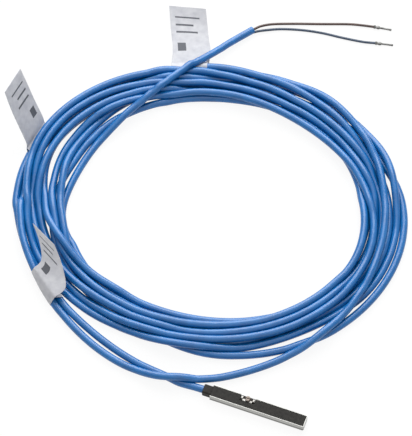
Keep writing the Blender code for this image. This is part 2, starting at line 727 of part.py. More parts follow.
def add_resin(resin):
    """The casting resin over the board, with a space left round every part that it holds."""
    half = CHAMBER_HALF - FIT_GAP
    outline = board_outline(half, CHAMBER_LOW_X + FIT_GAP, CHAMBER_HIGH_X - FIT_GAP, *clamp_notch(FIT_GAP))
    block = add_body("potting_resin", prism(outline, LEDGE_HEIGHT, CHAMBER_TOP - FIT_GAP), resin)
    for places, reach in ((chip_places(), LEAD_FOOT), (two_ended_places(), 0.0)):
        for x, y, length, width, height in places.values():
            across = width / 2 + reach + FIT_GAP
            cut(block, cuboid(
                (x - length / 2 - FIT_GAP, y - across, BOARD_TOP),
                (x + length / 2 + FIT_GAP, y + across, BOARD_TOP + PART_LIFT + height + FIT_GAP),
            ))
    pad_x = along_chamber("cable end", PAD_ALONG)
    for side in (1, -1):
        cut(block, rod_along(
            "Z", (pad_x, side * PAD_Y), SOLDER_RADIUS + FIT_GAP, BOARD_TOP,
            BOARD_TOP + PART_LIFT + SOLDER_HEIGHT + FIT_GAP, 16,
        ))
    for side in (1, -1):
        route = list(inner_core_route(side))
        route[-1] = (pad_x - SOLDER_RADIUS + FIT_GAP, *route[-1][1:])
        cut(block, tube_mesh(route, CORE_RADIUS + FIT_GAP, CORE_DIAMETER, 12))
    return block


def add_coil(jacket):
    """The wound part of the lead as one ring with the bundle's outer shape, lying on the ground."""
    section = rounded_rectangle(COIL_BAND, COIL_HEIGHT, COIL_ROUND, 3)
    middle = smooth_points(COIL_ROUTE, COIL_SPACING, closed=True)
    rings = []
    for i, point in enumerate(middle):
        ahead = middle[(i + 1) % len(middle)] - middle[i - 1]
        outward = Vector((-ahead.y, ahead.x, 0.0)).normalized()
        rings.append([point + outward * a + Vector((0.0, 0.0, COIL_HEIGHT / 2 + b)) for a, b in section])
    return add_body("cable_coil", loft(rings, closed=True), jacket, smooth=True)


def add_ferrule(name, route, tin):
    """A crimped sleeve and its pin in line with the end of a core, resting on the ground."""
    end = Vector(route[-1])
    heading = end - Vector(route[-2])
    heading.z = 0
    start = end + heading.normalized() * LAY_GAP
    crimp, pin = CRIMP_DIAMETER / 2, PIN_DIAMETER / 2
    sleeve_end = CRIMP_LENGTH
    tip = CRIMP_LENGTH + PIN_LENGTH
    profile = [
        (0.0, 0.0), (crimp * 0.9, 0.0), (crimp, crimp * 0.3),
        (crimp, sleeve_end * 0.35), (crimp * 0.86, sleeve_end * 0.42), (crimp * 0.86, sleeve_end * 0.58),
        (crimp, sleeve_end * 0.65), (crimp, sleeve_end - crimp * 0.4),
        (pin, sleeve_end), (pin, tip - pin * 0.6), (pin * 0.55, tip), (0.0, tip),
    ]
    item = add_body(name, turned(profile, FERRULE_STEPS), tin, smooth=True)
    turn = heading.to_track_quat("Z", "Y").to_matrix().to_4x4()
    item.matrix_world = Matrix.Translation((start.x, start.y, crimp + LAY_GAP / 3)) @ turn
    return item


def add_flag(name, rows, paper):
    """A stiff label flag: a sheet lofted between its two edges, given its thickness."""
    edges = [resample([row[side] for row in rows], LABEL_ROWS) for side in (0, 1)]
    bm = bmesh.new()
    across = 4
    grid = []
    for left, right in zip(*edges):
        grid.append([bm.verts.new(left.lerp(right, i / across)) for i in range(across + 1)])
    for low, high in zip(grid, grid[1:]):
        for i in range(across):
            bm.faces.new((low[i], low[i + 1], high[i + 1], high[i]))
    mesh = bpy.data.meshes.new(name)
    bm.to_mesh(mesh)
    bm.free()
    flag = add_object(name, mesh, paper)
    thick = flag.modifiers.new("thickness", "SOLIDIFY")
    thick.thickness = LABEL_THICKNESS
    thick.offset = 0.0
    return flag


def resample(route, count):
    """A fixed number of evenly spaced points on the smooth curve through a route."""
    length = sum((Vector(b) - Vector(a)).length for a, b in zip(route, route[1:]))
    return smooth_points(route, length / count)[: count + 1]


def build():
    clear_scene()
    steel = make_material("stainless_steel", (0.62, 0.62, 0.60), 0.30, 1.0)
    plastic = make_material("dark_moulding", (0.045, 0.043, 0.040), 0.55)
    nickel = make_material("nickel_plate", (0.74, 0.72, 0.68), 0.20, 1.0)
    screw_steel = make_material("screw_steel", (0.55, 0.54, 0.52), 0.28, 1.0)
    laminate = make_material("board_laminate", (0.03, 0.16, 0.06), 0.45)
    chip_plastic = make_material("chip_plastic", (0.02, 0.02, 0.022), 0.5)
    ceramic = make_material("ceramic", (0.42, 0.33, 0.22), 0.4)
    tin = make_material("tin", (0.70, 0.70, 0.70), 0.28, 1.0)
    resin = make_material("casting_resin", (0.05, 0.045, 0.035), 0.3)
    jacket = make_material("blue_jacket", (0.055, 0.235, 0.60), 0.42)
    brown = make_material("brown_insulation", (0.20, 0.055, 0.025), 0.4)
    blue = make_material("blue_insulation", (0.02, 0.09, 0.42), 0.4)
    paper = make_material("label_film", (0.86, 0.86, 0.86), 0.5)

    add_channel(steel)
    add_cover(plastic)
    add_clamp_nut(nickel)
    add_clamp_screw(screw_steel)
    add_board(laminate)
    for name, place in chip_places().items():
        add_chip(name, place, chip_plastic)
    for name, place in two_ended_places().items():
        add_two_ended(name, place, ceramic)
    for name, side, colour in (("brown", 1, brown), ("blue", -1, blue)):
        core = tube_mesh(inner_core_route(side), CORE_RADIUS, CORE_DIAMETER)
        add_body(f"{name}_core_inside", core, colour, smooth=True)
        add_solder(f"{name}_solder", side, tin)
    add_resin(resin)

    add_coil(jacket)
    add_cord("cable_lead", LEAD_ROUTE, JACKET_DIAMETER, CORD_SPACING, jacket)
    add_cord("cable_loop", LOOP_ROUTE, JACKET_DIAMETER, CORD_SPACING, jacket)
    add_cord("cable_tail", TAIL_ROUTE, JACKET_DIAMETER, CORD_SPACING, jacket)
    add_cord("brown_core", BROWN_ROUTE, CORE_DIAMETER, CORE_POINT_SPACING, brown)
    add_cord("blue_core", BLUE_ROUTE, CORE_DIAMETER, CORE_POINT_SPACING, blue)
    add_ferrule("brown_ferrule", BROWN_ROUTE, tin)
    add_ferrule("blue_ferrule", BLUE_ROUTE, tin)
    add_flag("label_top", TOP_FLAG, paper)
    add_flag("label_left", LEFT_FLAG, paper)
    add_flag("label_lower", LOWER_FLAG, paper)


build()
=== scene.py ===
import json
import math

import bpy
import numpy as np
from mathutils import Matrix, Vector
from mathutils.kdtree import KDTree


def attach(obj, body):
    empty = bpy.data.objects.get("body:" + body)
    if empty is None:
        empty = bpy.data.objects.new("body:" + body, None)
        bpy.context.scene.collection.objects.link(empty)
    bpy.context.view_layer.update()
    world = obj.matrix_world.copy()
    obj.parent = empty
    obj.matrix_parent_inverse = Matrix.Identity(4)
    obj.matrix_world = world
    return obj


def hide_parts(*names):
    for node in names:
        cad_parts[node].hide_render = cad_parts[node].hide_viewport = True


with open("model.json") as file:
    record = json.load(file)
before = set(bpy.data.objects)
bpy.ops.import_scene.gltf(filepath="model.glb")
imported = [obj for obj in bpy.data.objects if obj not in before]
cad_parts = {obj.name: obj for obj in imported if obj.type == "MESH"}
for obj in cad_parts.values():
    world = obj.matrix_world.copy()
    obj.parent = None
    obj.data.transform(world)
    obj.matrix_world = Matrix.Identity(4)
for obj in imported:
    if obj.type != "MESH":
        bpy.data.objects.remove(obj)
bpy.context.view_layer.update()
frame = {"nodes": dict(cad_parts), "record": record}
scene = bpy.context.scene
scene.view_settings.view_transform = "Standard"


# camera, as the photograph was taken: 62.5 degrees above the table, 20 round to the right
cameraSet = {
    "place": (0.1354, -0.4245, 1.0085),
    "tilt": 27.5,            # degrees away from straight down
    "turn": 20.0,
    "focalPixels": 2959.0,   # focal length in the photograph's pixels
    "pictureHeight": 436.0,
    "sensor": 36.0,
    "clip": (0.01, 10.0),
}

bpy.ops.object.camera_add(location=cameraSet["place"])
camera = bpy.context.object
camera.name = "photoCamera"
camera.rotation_euler = (math.radians(cameraSet["tilt"]), 0.0, math.radians(cameraSet["turn"]))
camera.data.sensor_fit = "AUTO"
camera.data.sensor_width = cameraSet["sensor"]
camera.data.lens = cameraSet["focalPixels"] / cameraSet["pictureHeight"] * cameraSet["sensor"]
camera.data.clip_start, camera.data.clip_end = cameraSet["clip"]
scene.camera = camera
print("camera placed")


# the lead: one length of cable from the switch's neck, round the coil nine times, to the stripped end
leadSet = {
    "diameter": 0.0029,
    "roundness": 6,          # the curve's bevel resolution
    "low": 0.00157,          # lowest the middle may lie, with a label's film beneath
    "step": 0.0015,          # spacing of the worked points
    "spanPoints": 8,         # points worked out between two chosen ones
    "ringSpanPoints": 4,     # the same between two of the ring's points
    "joinPoint": 3,          # the ring's point 4, where the lead joins the coil, counted from 0
    "fixedEnd": 12,          # points at each end that aren't evened out in the plan
    "heldEnd": 10,           # points at each end that come free of the plan little by little
    "heldFast": -0.6,        # how free the very end is: below 0 is held fast, 1 is free
    "rounds": 300,           # rounds in which the turns settle
    "searchEvery": 10,       # rounds from one search for neighbours to the next
    "searchReach": 1.6,      # how far it looks, in diameters
    "apart": 6,              # points within this many steps along the lead don't push each other
    "pushes": 4,             # pushes in each round
    "push": 0.4,             # share of an overlap that one push moves each point by
    "pull": 0.12,            # share of the way back to the planned line, each round
    "sink": 0.00005,         # drop in each round
    "stiff": 7.0,            # how far along, in steps, a bend is evened out
    "stiffRise": 6.0,        # the same for a bend up or down
    "ease": 0.5,             # share of that evening out in each round
    "lateFrom": 0.9,         # share of the rounds after which it is the next value
    "lateEase": 0.15,
    # middle of the coil's band, one point for each 30 degrees, from the near side clockwise
    "ring": ((-0.0243, 0.0209), (-0.0548, 0.0196), (-0.0833, 0.0278), (-0.1024, 0.0487),
             (-0.1072, 0.0780), (-0.0919, 0.1069), (-0.0619, 0.1244), (-0.0282, 0.1281),
             (0.0014, 0.1166), (0.0198, 0.0931), (0.0219, 0.0633), (0.0048, 0.0360)),
    # from the neck to the coil
    "start": ((-0.0176, 0.0, 0.00175), (-0.0201, 0.0, 0.00175), (-0.0240, -0.0001, 0.0017),
              (-0.0310, -0.0003, 0.0016), (-0.0392, 0.0004, 0.0016), (-0.0461, 0.0014, 0.0016),
              (-0.0527, 0.0029, 0.0016), (-0.0590, 0.0048, 0.0016), (-0.0649, 0.0070, 0.0016),
              (-0.0705, 0.0093, 0.0016), (-0.0759, 0.0120, 0.0016), (-0.0812, 0.0145, 0.0016),
              (-0.0909, 0.0203, 0.0016), (-0.0996, 0.0277, 0.0016), (-0.1069, 0.0363, 0.0016)),
    # the loop that leaves the coil at its near side and joins it again at the left
    "outer": ((0.0047, 0.0237, 0.0020), (-0.0006, 0.0182, 0.0016), (-0.0070, 0.0130, 0.0016),
              (-0.0187, 0.0053, 0.0029), (-0.0289, 0.0003, 0.0047), (-0.0387, -0.0012, 0.0048),
              (-0.0486, -0.0009, 0.0036), (-0.0598, 0.0011, 0.0018), (-0.0696, 0.0048, 0.0016),
              (-0.0759, 0.0084, 0.0025), (-0.0833, 0.0130, 0.0045), (-0.0904, 0.0188, 0.0048),
              (-0.0987, 0.0264, 0.0048), (-0.1064, 0.0347, 0.0046)),
    # out of the coil, over its turns and off to the stripped end
    "end": ((-0.0970, 0.0488, 0.0014), (-0.0976, 0.0578, 0.0016), (-0.0975, 0.0634, 0.0016),
            (-0.0970, 0.0719, 0.0016), (-0.0962, 0.0779, 0.0016), (-0.0950, 0.0839, 0.0016),
            (-0.0934, 0.0900, 0.0020), (-0.0910, 0.0957, 0.0034), (-0.0881, 0.1001, 0.0052),
            (-0.0854, 0.1040, 0.0066), (-0.0822, 0.1094, 0.0072), (-0.0787, 0.1158, 0.0073),
            (-0.0751, 0.1217, 0.0073), (-0.0715, 0.1278, 0.0064), (-0.0679, 0.1341, 0.0046),
            (-0.0643, 0.1403, 0.0029), (-0.0605, 0.1462, 0.0019), (-0.0561, 0.1523, 0.0016)),
    # each turn at the ring's points 1 to 12: how far out of the band's middle and how high, in mm
    "inward": (           # the first seven turns, from point 4 on
        ((10.1, 1.6), (9.3, 1.6), (7.0, 1.6), (6.2, 3.6), (3.7, 4.1), (1.7, 3.6), (2.1, 1.6),
         (0.8, 1.6), (-1.4, 1.6)),
        ((2.6, 1.6), (0.0, 1.6), (-2.8, 1.8), (-6.0, 5.2), (-4.9, 2.2), (-2.0, 1.6), (-0.5, 1.6),
         (0.7, 1.6), (3.8, 1.6), (7.6, 1.6), (6.8, 1.6), (6.9, 1.6)),
        ((6.4, 1.6), (3.0, 1.6), (0.1, 1.6), (-2.8, 1.6), (-7.3, 1.6), (-6.6, 1.6), (-6.0, 1.6),
         (-5.9, 1.6), (-6.3, 1.6), (-7.5, 4.3), (-6.7, 4.5), (-6.6, 4.2)),
        ((-4.3, 3.4), (-1.6, 4.2), (-2.0, 4.5), (-3.4, 4.3), (-1.5, 1.6), (-2.8, 4.2), (-4.9, 4.1),
         (-7.4, 4.2), (-7.3, 4.2), (-4.2, 4.3), (-2.7, 4.3), (-0.7, 4.3)),
        ((1.7, 4.2), (4.1, 4.3), (4.0, 1.5), (4.7, 2.6), (6.5, 4.1), (3.5, 4.2), (-0.9, 4.2),
         (-3.9, 4.1), (-4.0, 3.4), (-3.7, 1.6), (-4.5, 1.6), (-3.8, 4.2)),
        ((-1.5, 4.1), (1.0, 4.3), (1.6, 4.2), (2.4, 1.6), (2.6, 4.1), (0.1, 4.1), (-3.2, 1.6),
         (-2.3, 1.6), (-1.2, 1.6), (-6.6, 1.6), (-7.2, 1.6), (-6.9, 1.6)),
        ((-7.2, 1.6), (-5.9, 1.6), (-4.4, 5.3), (-0.7, 5.3), (3.5, 1.6), (0.9, 1.6), (5.0, 1.6),
         (6.9, 2.4), (4.2, 4.2), (0.1, 3.8), (1.3, 4.4), (7.7, 4.2)),
    ),
    "outward": (          # after the loop, from point 4 on again
        ((9.8, 4.5), (6.1, 2.5), (3.9, 1.6), (2.3, 1.8), (4.6, 1.6), (6.8, 1.6), (4.9, 2.8),
         (3.5, 1.6), (1.5, 1.6)),
        ((4.7, 4.0), (6.1, 1.6), (7.2, 1.6), (6.7, 4.9), (9.0, 5.0), (7.1, 4.2), (3.5, 4.4),
         (-0.5, 4.1), (-1.3, 4.2), (-0.9, 1.6), (-1.8, 1.6), (-4.4, 1.6)),
        ((-2.7, 1.6), (-3.0, 1.6), (-5.2, 1.6), (-6.2, 1.6)),
    ),
}


def softLine(points, perSpan, closed=False):
    # a line through all the points, with soft bends
    pts = [np.array(p, float) for p in points]
    count = len(pts)
    spans = count if closed else count - 1
    out = []
    for i in range(spans):
        if closed:
            a, b, c, d = (pts[(i + k) % count] for k in (-1, 0, 1, 2))
        else:
            a, b, c, d = (pts[min(max(i + k, 0), count - 1)] for k in (-1, 0, 1, 2))
        for j in range(perSpan):
            t = j / perSpan
            out.append(0.5 * (2 * b + (c - a) * t + (2 * a - 5 * b + 4 * c - d) * t ** 2
                              + (3 * b - a - 3 * c + d) * t ** 3))
    if not closed:
        out.append(pts[-1])
    return np.array(out)


def wayAlong(line):
    # each point's distance from the start, along the line
    return np.concatenate([[0.0], np.cumsum(np.linalg.norm(np.diff(line, axis=0), axis=1))])


def evenSteps(line, step):
    # the same line with its points one step apart
    along = wayAlong(line)
    count = int(round(along[-1] / step))
    at = np.linspace(0.0, along[-1], count + 1)
    return np.stack([np.interp(at, along, line[:, k]) for k in range(3)], axis=1)


def ringPlaces(settings, perSpan):
    # place and outward direction along the middle of the band
    line = softLine(settings["ring"], perSpan, closed=True)
    along = np.roll(line, -1, axis=0) - np.roll(line, 1, axis=0)
    along /= np.linalg.norm(along, axis=1)[:, None]
    out = np.stack([-along[:, 1], along[:, 0]], axis=1)
    if np.mean(np.sum(out * (line - line.mean(axis=0)), axis=1)) < 0:
        out = -out
    return line, out


def turnPoints(settings, rows):
    # rows of (outward mm, height mm) made into points, starting where the lead joins the coil
    mm = 0.001
    perSpan = settings["ringSpanPoints"]
    line, out = ringPlaces(settings, perSpan)
    fine = softLine([lane for row in rows for lane in row], perSpan)
    points = []
    for i, (shift, height) in enumerate(fine):
        at = (settings["joinPoint"] * perSpan + i) % len(line)
        spot = line[at] + out[at] * shift * mm
        points.append((spot[0], spot[1], height * mm))
    return points


def evenOut(values, reach):
    # takes short waves out of a line and leaves its long bends and its ends where they are
    half = int(reach * 3)
    weights = np.exp(-0.5 * (np.arange(-half, half + 1) / reach) ** 2)
    weights /= weights.sum()

    def blur(row):
        head = 2 * row[0] - row[half:0:-1]
        tail = 2 * row[-1] - row[-2:-half - 2:-1]
        return np.convolve(np.concatenate([head, row, tail]), weights, "valid")

    soft = blur(values)
    return soft + blur(values - soft)


def leadRoute(settings):
    # the planned line, before the turns settle
    route = list(settings["start"]) + turnPoints(settings, settings["inward"])
    route += list(settings["outer"]) + turnPoints(settings, settings["outward"])
    route += list(settings["end"])
    line = evenSteps(softLine(route, settings["spanPoints"]), settings["step"])
    end = settings["fixedEnd"]
    for k in (0, 1):
        line[end:-end, k] = evenOut(line[:, k], settings["stiff"])[end:-end]
    return line


def nearPairs(spots, reach, apart):
    # pairs of points within reach of each other, but not close together along the line
    tree = KDTree(len(spots))
    for i, p in enumerate(spots):
        tree.insert(p, i)
    tree.balance()
    pairs = [(i, j) for i, p in enumerate(spots) for _, j, _ in tree.find_range(p, reach) if j > i + apart]
    return np.array(pairs, int)


def layDown(line, settings):
    # the turns settle on the table and on each other, pressed together by up to a quarter of a millimetre
    thick = settings["diameter"]
    count = len(line)
    spots = line.copy()
    held = settings["heldEnd"]
    free = np.ones(count)        # 0 where a point keeps to the plan, 1 where it is free
    free[:held] = np.linspace(settings["heldFast"], 1.0, held)
    free[-held:] = np.linspace(1.0, settings["heldFast"], held)
    free = np.clip(free, 0.0, 1.0)[:, None]
    for n in range(settings["rounds"]):
        if n % settings["searchEvery"] == 0:
            near = nearPairs(spots, thick * settings["searchReach"], settings["apart"])
        spots[:, :2] += settings["pull"] * (line[:, :2] - spots[:, :2])
        spots[:, 2] -= settings["sink"]
        ease = settings["ease"] if n / settings["rounds"] < settings["lateFrom"] else settings["lateEase"]
        for k, reach in ((0, settings["stiff"]), (1, settings["stiff"]), (2, settings["stiffRise"])):
            spots[:, k] += ease * (evenOut(spots[:, k], reach) - spots[:, k])
        for _ in range(settings["pushes"]):
            gap = spots[near[:, 0]] - spots[near[:, 1]]
            far = np.linalg.norm(gap, axis=1)
            close = np.clip(thick - far, 0.0, None) * settings["push"]
            push = gap / np.maximum(far, 1e-9)[:, None] * close[:, None]
            for k in range(3):
                spots[:, k] += np.bincount(near[:, 0], push[:, k], count)
                spots[:, k] -= np.bincount(near[:, 1], push[:, k], count)
            spots[:, 2] = np.maximum(spots[:, 2], settings["low"])
        spots = line + (spots - line) * free
    gap = np.linalg.norm(spots[near[:, 0]] - spots[near[:, 1]], axis=1)
    print("turns settled, their worked points at least", round(float(gap.min()) * 1000, 2), "mm apart")
    return spots


def lineLength(points):
    return float(np.sum(np.linalg.norm(np.diff(points, axis=0), axis=1)))


# faces that meet at fewer degrees than this are shaded as one
smoothSet = {"cable": 50, "turned": 35, "film": 40}


def cable(name, points, diameter, roundness):
    # a bevelled curve along the points, made a mesh
    bpy.ops.object.select_all(action="DESELECT")
    curve = bpy.data.curves.new(name, "CURVE")
    curve.dimensions = "3D"
    spline = curve.splines.new("POLY")
    spline.points.add(len(points) - 1)
    for point, spot in zip(spline.points, points):
        point.co = (*spot, 1.0)
    curve.bevel_depth = diameter / 2
    curve.bevel_resolution = roundness
    curve.use_fill_caps = True
    piece = bpy.data.objects.new(name, curve)
    scene.collection.objects.link(piece)
    bpy.context.view_layer.objects.active = piece
    piece.select_set(True)
    bpy.ops.object.convert(target="MESH")
    piece = bpy.context.object
    bpy.ops.object.shade_smooth_by_angle(angle=math.radians(smoothSet["cable"]))
    return piece


newPieces = []


def place(piece, slot, *nodes):
    # the piece belongs to the switch, takes that finish and stands for these parts
    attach(piece, "switch")
    if nodes:
        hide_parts(*nodes)
    newPieces.append((piece, slot))
    return piece


leadLine = evenSteps(layDown(leadRoute(leadSet), leadSet), leadSet["step"])
leadCable = place(cable("leadCable", leadLine, leadSet["diameter"], leadSet["roundness"]), "blue_jacket",
                  "cable_lead", "cable_coil", "cable_loop", "cable_tail")


def drawnOut(name, profile, sides):
    # a disc raised through rows of (height, radius)
    bpy.ops.object.select_all(action="DESELECT")
    bpy.ops.mesh.primitive_circle_add(vertices=sides, radius=profile[0][1], fill_type="NGON")
    piece = bpy.context.object
    piece.name = name
    bpy.ops.object.mode_set(mode="EDIT")
    bpy.ops.mesh.select_mode(type="FACE")
    bpy.ops.mesh.select_all(action="SELECT")
    height, radius = profile[0]
    for nextHeight, nextRadius in profile[1:]:
        bpy.ops.mesh.extrude_region_move(
            TRANSFORM_OT_translate={"value": (0.0, 0.0, nextHeight - height)})
        bpy.ops.transform.resize(value=(nextRadius / radius, nextRadius / radius, 1.0),
                                 center_override=(0.0, 0.0, nextHeight))
        height, radius = nextHeight, nextRadius
    return piece


def standAlong(piece, start, heading):
    # lays a piece made on the Z axis along a line, with its place in its mesh
    bpy.ops.object.mode_set(mode="EDIT")
    bpy.ops.mesh.select_all(action="SELECT")
    bpy.ops.mesh.normals_make_consistent(inside=False)
    bpy.ops.object.mode_set(mode="OBJECT")
    piece.rotation_euler = Vector(heading).to_track_quat("Z", "Y").to_euler()
    piece.location = start
    bpy.ops.object.transform_apply(location=True, rotation=True, scale=True)
    bpy.ops.object.shade_smooth_by_angle(angle=math.radians(smoothSet["turned"]))
    return piece


# where the jacket is cut off, its wall shows round the cores
endSet = {
    "length": 0.0018,
    "sides": 28,
    "bore": 0.00115,         # radius
    "deep": 0.0010,
    "round": 0.00012,        # rounding of the rim
    "roundSteps": 2,
    "back": 0.0002,          # how far back over the lead it starts
}

jacketRadius = leadSet["diameter"] / 2
heading = leadLine[-1] - leadLine[-4]
heading /= np.linalg.norm(heading)
jacketEnd = drawnOut("jacketEnd", ((0.0, jacketRadius), (endSet["length"], jacketRadius)), endSet["sides"])
bpy.ops.mesh.inset(thickness=jacketRadius - endSet["bore"])
bpy.ops.mesh.extrude_region_move(TRANSFORM_OT_translate={"value": (0.0, 0.0, -endSet["deep"])})
standAlong(jacketEnd, leadLine[-1] - heading * endSet["back"], heading)
rim = jacketEnd.modifiers.new("rim", "BEVEL")
rim.width = endSet["round"]
rim.segments = endSet["roundSteps"]
rim.limit_method = "ANGLE"
bpy.ops.object.modifier_apply(modifier="rim")
place(jacketEnd, "blue_jacket")
print("jacket's end cut")


# the two cores that come out of the jacket, each with a crimped pin
coreSet = {
    "diameter": 0.0010,
    "roundness": 4,
    "step": 0.0008,
    "spanPoints": 12,
    "brown": ((-0.0560, 0.1524, 0.0019), (-0.0544, 0.1542, 0.0019), (-0.0526, 0.1563, 0.0016),
              (-0.0486, 0.1590, 0.0011), (-0.0407, 0.1624, 0.0006), (-0.0306, 0.1660, 0.0005),
              (-0.0205, 0.1696, 0.0005), (-0.0152, 0.1709, 0.0006), (-0.0104, 0.1718, 0.0007)),
    "blue": ((-0.0554, 0.1519, 0.0014), (-0.0536, 0.1534, 0.0013), (-0.0506, 0.1554, 0.0009),
             (-0.0450, 0.1582, 0.0006), (-0.0373, 0.1606, 0.0005), (-0.0292, 0.1621, 0.0005),
             (-0.0209, 0.1628, 0.0005), (-0.0128, 0.1637, 0.0006), (-0.0075, 0.1649, 0.0007)),
    # the crimp and its pin: how far along and how thick
    "pin": ((0.0, 0.00050), (0.0001, 0.00066), (0.0007, 0.00068), (0.0009, 0.00054), (0.0013, 0.00054),
            (0.0015, 0.00068), (0.0022, 0.00066), (0.0026, 0.00038), (0.0064, 0.00037), (0.0065, 0.00044),
            (0.0070, 0.00044), (0.0072, 0.00030)),
    "pinSides": 20,
    "crimp": (0.0005, 0.0024),     # stretch of it that is pressed flat
    "pressed": (1.10, 0.72),       # what that does to its width and height
    "back": 0.00035,               # how far back over the core it starts
    "droop": 0.0002,
}

for colour in ("brown", "blue"):
    line = evenSteps(softLine(coreSet[colour], coreSet["spanPoints"]), coreSet["step"])
    core = place(cable(colour + "Core", line, coreSet["diameter"], coreSet["roundness"]),
                 colour + "_insulation", colour + "_core")
    pin = drawnOut(colour + "Ferrule", coreSet["pin"], coreSet["pinSides"])
    bpy.ops.object.mode_set(mode="OBJECT")
    crimpStart, crimpEnd = coreSet["crimp"]
    for v in pin.data.vertices:
        if crimpStart < v.co.z < crimpEnd:
            v.co.x *= coreSet["pressed"][0]
            v.co.y *= coreSet["pressed"][1]
    heading = line[-1] - line[-5]
    heading[2] = -coreSet["droop"]
    standAlong(pin, line[-1] - coreSet["back"] * heading / np.linalg.norm(heading), heading)
    place(pin, "tin", colour + "_ferrule")
    print(colour, "core", round(lineLength(line) * 1000, 1), "mm")


# label flags: film folded round the lead and stuck to itself
flagSet = {
    "film": 0.0001,
    "grid": (12, 110),       # faces across the film and along it
    "spanPoints": 7,
    "ringPoints": 48,        # points round the lead, from which the film's fold is worked out
    "clear": 0.8,            # film's middle off the lead, in thicknesses
    "layer": 0.55,           # half the distance between its two layers' middles, in thicknesses
    # rows from the lead outward, each from one edge of the film to the other,
    # and the stretches of the lead that the film holds, each from edge to edge
    "labelTop": {
        "rows": (((-0.0803, 0.1281, 0.0011), (-0.0665, 0.1340, 0.0011)),
                 ((-0.0819, 0.1341, 0.0007), (-0.0678, 0.1390, 0.0007)),
                 ((-0.0847, 0.1403, 0.0004), (-0.0705, 0.1445, 0.0004)),
                 ((-0.0875, 0.1464, 0.0006), (-0.0732, 0.1502, 0.0007)),
                 ((-0.0903, 0.1526, 0.0016), (-0.0759, 0.1559, 0.0022))),
        "holds": (((-0.0793, 0.1257, 0.0015), (-0.0655, 0.1316, 0.0015)),)},
    "labelLeft": {
        "rows": (((-0.1170, 0.0850, 0.0034), (-0.1192, 0.0718, 0.0036)),
                 ((-0.1185, 0.0866, 0.0056), (-0.1197, 0.0731, 0.0058)),
                 ((-0.1225, 0.0894, 0.0106), (-0.1233, 0.0756, 0.0116)),
                 ((-0.1264, 0.0924, 0.0159), (-0.1274, 0.0786, 0.0178)),
                 ((-0.1301, 0.0951, 0.0210), (-0.1310, 0.0818, 0.0240))),
        "holds": (((-0.1151, 0.0846, 0.0015), (-0.1179, 0.0715, 0.0015)),)},
    "labelLower": {
        "rows": (((-0.0969, 0.0232, 0.0068), (-0.0850, 0.0145, 0.0066)),
                 ((-0.0951, 0.0262, 0.0080), (-0.0824, 0.0190, 0.0076)),
                 ((-0.0961, 0.0294, 0.0095), (-0.0847, 0.0239, 0.0088)),
                 ((-0.0989, 0.0337, 0.0112), (-0.0880, 0.0283, 0.0105)),
                 ((-0.1027, 0.0379, 0.0130), (-0.0920, 0.0326, 0.0122))),
        "holds": (((-0.0963, 0.0233, 0.0040), (-0.0851, 0.0138, 0.0015)),
                  ((-0.0959, 0.0246, 0.0015), (-0.0835, 0.0162, 0.0015)))},
}


def heldLine(ends):
    # the stretch of the lead between two places on it
    first, last = (int(np.argmin(np.linalg.norm(leadLine - np.array(e), axis=1))) for e in ends)
    stretch = leadLine[min(first, last):max(first, last) + 1]
    return stretch if last > first else stretch[::-1]


def linePoint(line, share):
    # the place at a share of the line's points
    at = share * (len(line) - 1)
    return np.array([np.interp(at, np.arange(len(line)), line[:, k]) for k in range(3)])


def hullRound(points):
    # outline round the points, in order
    points = sorted(set((round(float(x), 7), round(float(y), 7)) for x, y in points))

    def half(row):
        out = []
        for p in row:
            while len(out) > 1 and ((out[-1][0] - out[-2][0]) * (p[1] - out[-2][1])
                                    - (out[-1][1] - out[-2][1]) * (p[0] - out[-2][0])) <= 0:
                out.pop()
            out.append(p)
        return out[:-1]

    return half(points) + half(points[::-1])


def filmPath(flag, share, settings):
    # from the tip of the upper layer, in to the lead, round it and back out to the tip
    film = settings["film"]
    rows = np.array([np.array(a) + (np.array(b) - np.array(a)) * share for a, b in flag["rows"]])
    across = np.array(flag["rows"][0][1]) - np.array(flag["rows"][0][0])
    run = softLine(rows, settings["spanPoints"])
    ahead = np.gradient(run, axis=0)
    up = np.cross(np.broadcast_to(across, ahead.shape), ahead)
    up /= np.linalg.norm(up, axis=1)[:, None]
    if up[-1, 2] < 0:
        up = -up
    held = [linePoint(heldLine(ends), share) for ends in flag["holds"]]
    base = run[0]
    side = np.array([across[1], -across[0]]) / np.hypot(across[0], across[1])

    def flat(p):
        # a place seen along the lead: how far out and how high
        return float(np.dot(p[:2] - base[:2], side)), float(p[2])

    ringRadius = leadSet["diameter"] / 2 + film * settings["clear"]
    spots = []
    for centre in held:
        x, z = flat(centre)
        spots += [(x + ringRadius * math.cos(t), z + ringRadius * math.sin(t))
                  for t in np.linspace(0.0, 2 * math.pi, settings["ringPoints"], endpoint=False)]
    # the outline starts at the flag's foot and leaves it on the upper side
    start = (0.0, float(base[2]))
    outline = hullRound(spots + [start])
    at = min(range(len(outline)), key=lambda i: math.dist(outline[i], start))
    outline = outline[at:] + outline[:at]
    aim = (float(np.dot(up[0][:2], side)), float(up[0][2]))
    towards = [(q[0] - start[0]) * aim[0] + (q[1] - start[1]) * aim[1] for q in (outline[1], outline[-1])]
    if towards[0] < towards[1]:
        outline = [outline[0]] + outline[:0:-1]
    # the film stays with the lead where the flag's edge doesn't run beside it
    shift = base[:2] - held[0][:2]
    shift = shift - side * np.dot(shift, side)
    reach = max(abs(flat(held[0])[0]), 1e-6)
    loop = []
    for x, z in outline[1:]:
        stay = min(abs(x) / reach, 1.0)
        spot = base[:2] + side * x - shift * stay
        loop.append((spot[0], spot[1], z))
    upper = (run + up * film * settings["layer"])[::-1]
    lower = run - up * film * settings["layer"]
    return np.concatenate([upper, np.array(loop), lower])


